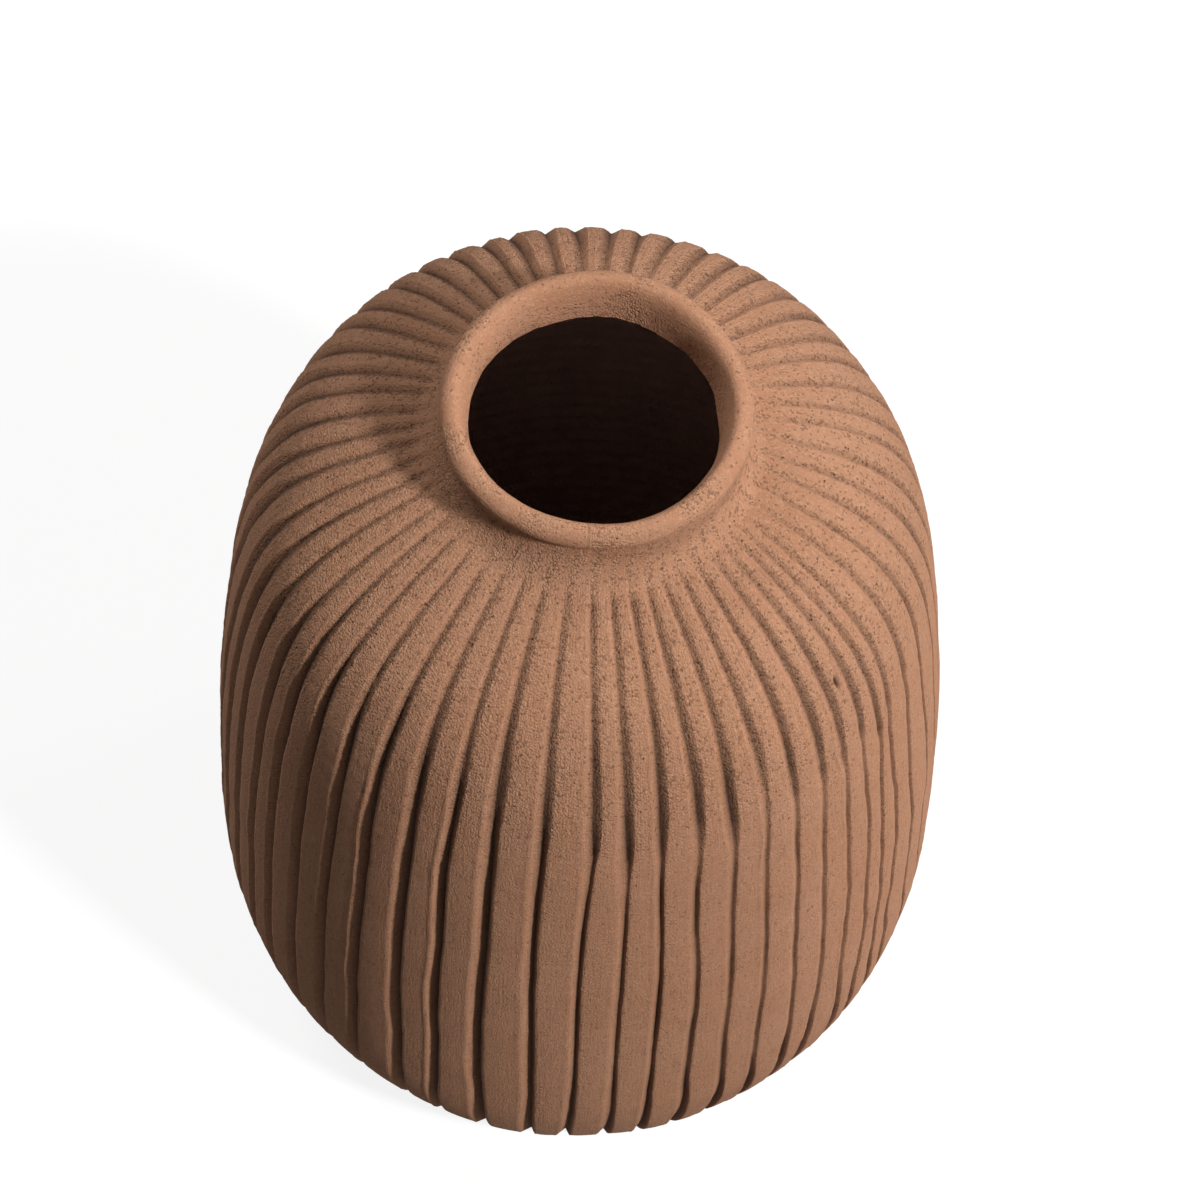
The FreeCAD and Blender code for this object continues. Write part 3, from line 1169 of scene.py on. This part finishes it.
@dataclass
class Studio:
    """Plain pale floor, a small key lamp from the right front, two broad weak ones, and the camera."""

    lens: float = 144.0
    sensor: float = 36.0
    nearest: float = 0.1
    camera_place: tuple[float, float, float] = (0.0067, -0.8791, 1.9274)
    look_down: float = 62.39
    camera_roll: float = 2.64
    lamp_distance: float = 6.0
    key: Lamp = Lamp("key_lamp", bearing=-36, height=46, level=0.95, size=0.6)
    side: Lamp = Lamp("side_lamp", bearing=30, height=18, level=0.38, size=2.0)
    back: Lamp = Lamp("back_lamp", bearing=132, height=47, level=0.38, size=2.0)
    sky_level: float = 0.06
    floor_colour: str = "#767371"
    floor_size: float = 6.0
    floor_glow: float = 0.87
    floor_shade: float = 0.18

    def build(self) -> None:
        """Builds the floor, the lamps, the sky and the camera."""
        self.build_floor()
        for lamp in (self.key, self.side, self.back):
            self.build_lamp(lamp)
        self.build_sky()
        self.build_camera()

    def build_floor(self) -> None:
        """Pale floor: a camera sees it nearly white, with the vase's shadow on it."""
        half = self.floor_size / 2
        corners = [(-half, -half, 0), (half, -half, 0), (half, half, 0), (-half, half, 0)]
        mesh = bpy.data.meshes.new("floor")
        mesh.from_pydata(corners, [], [(0, 1, 2, 3)])
        floor = bpy.data.objects.new("floor", mesh)
        bpy.context.scene.collection.objects.link(floor)
        paint = bpy.data.materials.new("pale_floor")
        paint.use_nodes = True
        tree = paint.node_tree
        tree.nodes.clear()
        add = partial(add_node, tree)
        path = add("LightPath", {}).node.outputs
        seen = path["Is Camera Ray"]
        for ray in ("Is Glossy Ray", "Is Transmission Ray"):
            seen = add("Math", {0: seen, 1: path[ray]}, operation="MAXIMUM")
        pale = add("BsdfDiffuse", {"Color": linear(self.floor_colour)})
        shade = add("BsdfDiffuse", {"Color": (self.floor_shade,) * 3 + (1.0,)})
        glow = add("Emission", {"Strength": self.floor_glow})
        white = add("AddShader", {0: shade, 1: glow})
        both = add("MixShader", {0: seen, 1: pale, 2: white})
        add("OutputMaterial", {"Surface": both})
        mesh.materials.append(paint)

    def build_lamp(self, lamp: Lamp) -> None:
        """Hangs a lamp that faces the vase.

        Args:
            lamp: its place, strength and size.
        """
        light = bpy.data.lights.new(lamp.name, "AREA")
        light.size = lamp.size
        light.energy = lamp.level * (math.pi * self.lamp_distance) ** 2
        made = bpy.data.objects.new(lamp.name, light)
        middle = Matrix.Translation((cad_box[0] + cad_box[1]) / 2)
        turn = Matrix.Rotation(math.radians(lamp.bearing + 90), 4, "Z")
        lift = Matrix.Rotation(math.radians(90 - lamp.height), 4, "X")
        made.matrix_world = middle @ turn @ lift @ Matrix.Translation((0, 0, self.lamp_distance))
        bpy.context.scene.collection.objects.link(made)

    def build_sky(self) -> None:
        """Weak even light from all round, white where a camera sees it."""
        world = bpy.data.worlds.new("studio")
        bpy.context.scene.world = world
        world.use_nodes = True
        tree = world.node_tree
        add = partial(add_node, tree)
        path = add("LightPath", {}, "Is Camera Ray")
        level = add("MapRange", {"Value": path, "To Min": self.sky_level})
        tree.links.new(level, tree.nodes["Background"].inputs["Strength"])
        tree.nodes["Background"].inputs["Color"].default_value = (1, 1, 1, 1)

    def build_camera(self) -> None:
        """Camera that looks steeply down on the vase from the front."""
        lens = bpy.data.cameras.new("camera")
        lens.lens = self.lens
        lens.sensor_width = self.sensor
        lens.clip_start = self.nearest
        camera = bpy.data.objects.new("camera", lens)
        tilt = Matrix.Rotation(math.radians(90 - self.look_down), 4, "X")
        roll = Matrix.Rotation(math.radians(self.camera_roll), 4, "Z")
        camera.matrix_world = Matrix.Translation(self.camera_place) @ tilt @ roll
        bpy.context.scene.collection.objects.link(camera)
        bpy.context.scene.camera = camera


def main() -> None:
    """Builds the vase and its studio."""
    logging.basicConfig(level=logging.INFO, format="%(name)s: %(message)s")
    carved = CARVED_CLAY.material()
    smoothed = SMOOTHED_CLAY.material()
    skin = FlutedSkin(Outline.from_frame(), Strokes())
    inside = ThrownInside()
    seat = FootSeat.from_frame()
    neck = Neck(skin)

    dress(BodyWall(skin, inside, seat).build(), carved, "body_wall")
    dress(Shoulder(skin, inside).build(), carved, "shoulder")
    dress(neck.build(), smoothed, "neck_collar")
    dress(RimRoll(neck).build(), smoothed, "rim_roll")
    dress(BaseSlab(seat).build(), smoothed, "base_slab")

    Studio().build()
    bpy.context.scene.view_settings.view_transform = "Standard"


if __name__ == "__main__":
    main()
